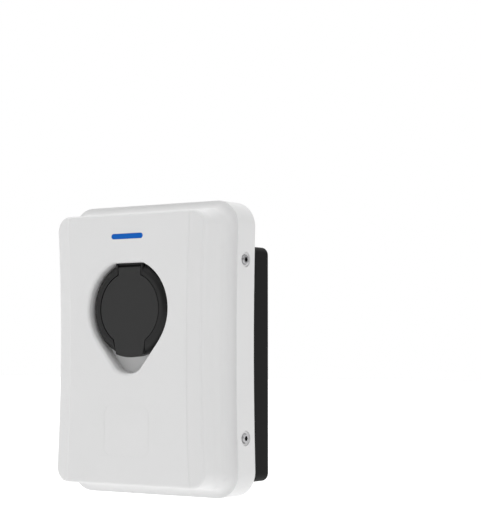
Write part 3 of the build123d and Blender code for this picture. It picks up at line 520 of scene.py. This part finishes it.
def thin_pad_line(cover):
    """Makes the groove round the reader pad shallower in the cover's copy."""
    front = cad_low.y
    for vertex in cover.data.vertices:
        place = vertex.co
        depth = place.y - front
        near_pad = PAD_BOTTOM < place.z < PAD_TOP and abs(place.x) < PAD_HALF_WIDTH
        if near_pad and 0.0 < depth < PAD_LINE_DEPTH:
            place.y = front + depth * PAD_LINE_SHARE


def loose_parts(mesh):
    """The low and high corner of each separate solid of a mesh."""
    shape = bmesh.new()
    shape.from_mesh(mesh)
    bmesh.ops.remove_doubles(shape, verts=shape.verts, dist=MERGE_DISTANCE)
    left = set(shape.verts)
    corners = []
    while left:
        wave = [left.pop()]
        found = list(wave)
        while wave:
            near = {edge.other_vert(vertex) for vertex in wave for edge in vertex.link_edges} & left
            left -= near
            found += near
            wave = list(near)
        places = [vertex.co for vertex in found]
        low = Vector([min(place[axis] for place in places) for axis in range(3)])
        high = Vector([max(place[axis] for place in places) for axis in range(3)])
        corners.append((low, high))
    shape.free()
    return corners


def ring_points(along, reach, hexagon):
    """The points of a circle, or of a hexagon of that reach, round the X axis."""
    points = []
    for step in range(SCREW_SIDES):
        turn = 2 * math.pi * step / SCREW_SIDES
        off_flat = turn % HEXAGON_TURN - HEXAGON_TURN / 2
        out = reach * math.cos(HEXAGON_TURN / 2) / math.cos(off_flat) if hexagon else reach
        points.append((along, out * math.cos(turn), out * math.sin(turn)))
    return points


def screw_mesh(length, head_height, socket_depth):
    """A side screw with a head of radius 1 that points along +X, its head's face at the origin."""
    rim = SCREW_RIM_SHARE
    face = SCREW_FACE_SHARE
    eased = rim * SCREW_RIM_ROUND_SHARE
    rings = [
        (-length, SCREW_SHANK_SHARE, False),
        (-head_height, SCREW_SHANK_SHARE, False),
        (-head_height, 1.0, False),
        (-rim, face, False),
        (-eased, face - eased, False),
        (0.0, face - rim, False),
        (0.0, SCREW_SOCKET_SHARE, True),
        (-socket_depth, SCREW_SOCKET_SHARE, True),
    ]
    places = [point for ring in rings for point in ring_points(*ring)]
    faces = []
    for start in range(0, len(places) - SCREW_SIDES, SCREW_SIDES):
        for step in range(SCREW_SIDES):
            beside = start + (step + 1) % SCREW_SIDES
            faces.append((start + step, beside, beside + SCREW_SIDES, start + step + SCREW_SIDES))
    last = len(places) - SCREW_SIDES
    faces.append(tuple(reversed(range(SCREW_SIDES))))
    faces.append(tuple(range(last, len(places))))
    mesh = bpy.data.meshes.new("side_screw_shape")
    mesh.from_pydata(places, [], faces)
    in_socket = mesh.attributes.new("in_socket", "BOOLEAN", "FACE")
    for polygon, mark in zip(mesh.polygons, in_socket.data):
        mark.value = min(polygon.vertices) >= last - SCREW_SIDES
    return mesh


def screw_tree(pattern):
    """Puts a screw of a given head radius at each point, in one finish, with a dark painted shade on the
    faces of its socket.
    """
    tree = bpy.data.node_groups.new("side_screw_repeat", "GeometryNodeTree")
    tree.interface.new_socket("Geometry", in_out="INPUT", socket_type="NodeSocketGeometry")
    keys = {
        name: tree.interface.new_socket(name, in_out="INPUT", socket_type=kind).identifier
        for name, kind in (
            ("Head radius", "NodeSocketFloat"),
            ("Finish", "NodeSocketMaterial"),
            ("Socket", "NodeSocketMaterial"),
        )
    }
    tree.interface.new_socket("Geometry", in_out="OUTPUT", socket_type="NodeSocketGeometry")
    given = tree.nodes.new("NodeGroupInput")
    start, radius, finish, socket_painted_shade = (Socket(tree, output) for output in given.outputs[:4])
    one = start.node("GeometryNodeObjectInfo", {}, {"Object": pattern}, "Geometry")
    turn = start.node(
        "GeometryNodeInputNamedAttribute", {"data_type": "FLOAT_VECTOR"}, {"Name": "turn"}, "Attribute"
    )
    inside = start.node(
        "GeometryNodeInputNamedAttribute", {"data_type": "BOOLEAN"}, {"Name": "in_socket"}, "Attribute"
    )
    copies = start.node(
        "GeometryNodeInstanceOnPoints", {},
        {"Points": start, "Instance": one, "Rotation": turn, "Scale": radius},
    )
    solid = start.node("GeometryNodeRealizeInstances", {}, {"Geometry": copies})
    plain = start.node("GeometryNodeSetMaterial", {}, {"Geometry": solid, "Material": finish})
    # The faces inside each hexagon socket get the dark painted shade, standing for the shade deep in the hole
    painted = start.node(
        "GeometryNodeSetMaterial", {}, {"Geometry": plain, "Selection": inside, "Material": socket_painted_shade}
    )
    end = tree.nodes.new("NodeGroupOutput")
    tree.links.new(painted.link, end.inputs["Geometry"])
    return tree, keys


def fit_side_screws(finish, socket_painted_shade):
    """The screws through the cover's sides, each with a hexagon socket in its head, painted dark inside as
    shade.
    """
    corners = loose_parts(nodes["cover_screws"].data)
    low, high = corners[0]
    radius = (high.z - low.z) / 2
    length = high.x - low.x
    points = bpy.data.meshes.new("side_screw_places")
    outer_ends = [
        (high.x if high.x > 0 else low.x, (low.y + high.y) / 2, (low.z + high.z) / 2) for low, high in corners
    ]
    points.from_pydata(outer_ends, [], [])
    turned = points.attributes.new("turn", "FLOAT_VECTOR", "POINT")
    for point, turn in zip(points.vertices, turned.data):
        turn.vector = (0.0, 0.0, 0.0 if point.co.x > 0 else math.pi)
    shape = screw_mesh(length / radius, SCREW_HEAD_HEIGHT / radius, SCREW_SOCKET_DEPTH / radius)
    pattern = bpy.data.objects.new("side_screw_pattern", shape)
    holder = bpy.data.objects.new("side_screw_holder", points)
    bpy.context.scene.collection.objects.link(holder)
    tree, keys = screw_tree(pattern)
    modifier = holder.modifiers.new("repeat", "NODES")
    modifier.node_group = tree
    modifier[keys["Head radius"]] = radius
    modifier[keys["Finish"]] = finish
    modifier[keys["Socket"]] = socket_painted_shade
    bpy.context.view_layer.update()
    made = holder.evaluated_get(bpy.context.evaluated_depsgraph_get())
    mesh = bpy.data.meshes.new_from_object(made)
    bpy.data.objects.remove(holder)
    bpy.data.objects.remove(pattern)
    soften(mesh)
    screws = bpy.data.objects.new("side_screws", mesh)
    bpy.context.scene.collection.objects.link(screws)
    stand_for(screws, "cover_screws")


def dress(material, *names):
    """Gives a material to CAD nodes that keep their own mesh."""
    for name in names:
        mesh = nodes[name].data
        mesh.materials.clear()
        mesh.materials.append(material)


def dress_outside(finishes):
    """The cover with its screws, the back box and the light bar."""
    cover = moulded_copy("cover_moulding", finishes["cover"], "front_cover")
    lower_ramp(cover)
    widen_tip(cover)
    thin_pad_line(cover)
    soften(cover.data)
    moulded_copy("back_box_moulding", finishes["box"], "back_box")
    moulded_copy("light_bar", finishes["light"], "light_guide")
    dress(finishes["rubber"], "cover_gasket", "wall_seals")
    fit_side_screws(finishes["side_screw"], finishes["screw_socket"])


def dress_outlet(finishes):
    """The outlet with its contacts, its bezel and the lid."""
    moulded_copy("bezel_moulding", finishes["ring"], "socket_bezel")
    moulded_copy("lid_moulding", finishes["lid"], "lid")
    moulded_copy("outlet_shell", finishes["outlet"], "socket_shell")
    moulded_copy("contact_carrier", finishes["outlet"], "socket_core")
    moulded_copy("large_contacts", finishes["silver"], "power_contacts")
    moulded_copy("small_contacts", finishes["silver"], "signal_contacts")
    moulded_copy("lid_ring_seal", finishes["rubber"], "lid_seal")
    moulded_copy("hinge_rod", finishes["steel"], "hinge_pin")
    moulded_copy("lid_return_spring", finishes["steel"], "lid_spring")
    moulded_copy("lock_pin", finishes["steel"], "lock_bolt")
    dress(finishes["outlet"], "socket_rear_cap", "core_plate")
    dress(finishes["inner"], "lock_housing")
    dress(finishes["steel"], "socket_screws")


def dress_gland(finishes):
    """The cable gland under the back box."""
    moulded_copy("gland_thread_body", finishes["gland"], "gland_body")
    moulded_copy("gland_clamping_nut", finishes["gland"], "gland_nut")
    moulded_copy("gland_rubber", finishes["rubber"], "gland_seal")
    dress(finishes["gland"], "gland_lock_nut")


def dress_inside(finishes):
    """The boards, relays and terminals, which the cover hides."""
    dress(finishes["board"], "main_board", "light_board", "reader_board")
    dress(finishes["inner"], "relay_1", "relay_2", "relay_3", "relay_4", "current_sensor", "power_supply")
    dress(finishes["terminal"], "supply_terminals")
    dress(finishes["steel"], "front_board_screws", "board_screws", "capacitor_1", "capacitor_2")
    dress(finishes["brass"], "screw_inserts")


finishes = {
    "cover": moulded_plastic("cover_plastic", COVER_WHITE, 0.48, 0.35, mottle=0.004),
    "box": moulded_plastic("box_plastic", BOX_BLACK, 0.6, 0.12, BOX_GRAIN, BOX_RELIEF),
    "ring": moulded_plastic("bezel_plastic", BEZEL_BLACK, 0.4, 0.28),
    "lid": moulded_plastic("lid_plastic", LID_BLACK, 0.5, 0.3),
    "outlet": moulded_plastic("outlet_plastic", OUTLET_BLACK, 0.5, 0.4),
    "inner": moulded_plastic("inner_plastic", INNER_BLACK, 0.5, 0.4),
    "terminal": moulded_plastic("terminal_plastic", TERMINAL_GREY, 0.5, 0.4),
    "gland": moulded_plastic("gland_nylon", GLAND_BLACK, 0.5, 0.35, GLAND_GRAIN, GLAND_RELIEF),
    "rubber": soft_rubber("black_rubber", RUBBER_BLACK),
    "steel": turned_metal("stainless_steel", STEEL, 0.3),
    "side_screw": turned_metal("side_screw_steel", SIDE_SCREW_STEEL, 0.28),
    # Painted shade: dark metal for the inside of the screw sockets, standing for the shade deep in them
    "screw_socket": turned_metal("screw_socket_shade", SOCKET_SHADE, 0.4),
    "brass": turned_metal("turned_brass", BRASS, 0.3),
    "silver": turned_metal("silvered_contact", SILVER, 0.3),
    "board": green_board(),
    "light": lit_guide(),
}

add_camera()
light_room()
add_floor()
dress_outside(finishes)
dress_outlet(finishes)
dress_gland(finishes)
dress_inside(finishes)
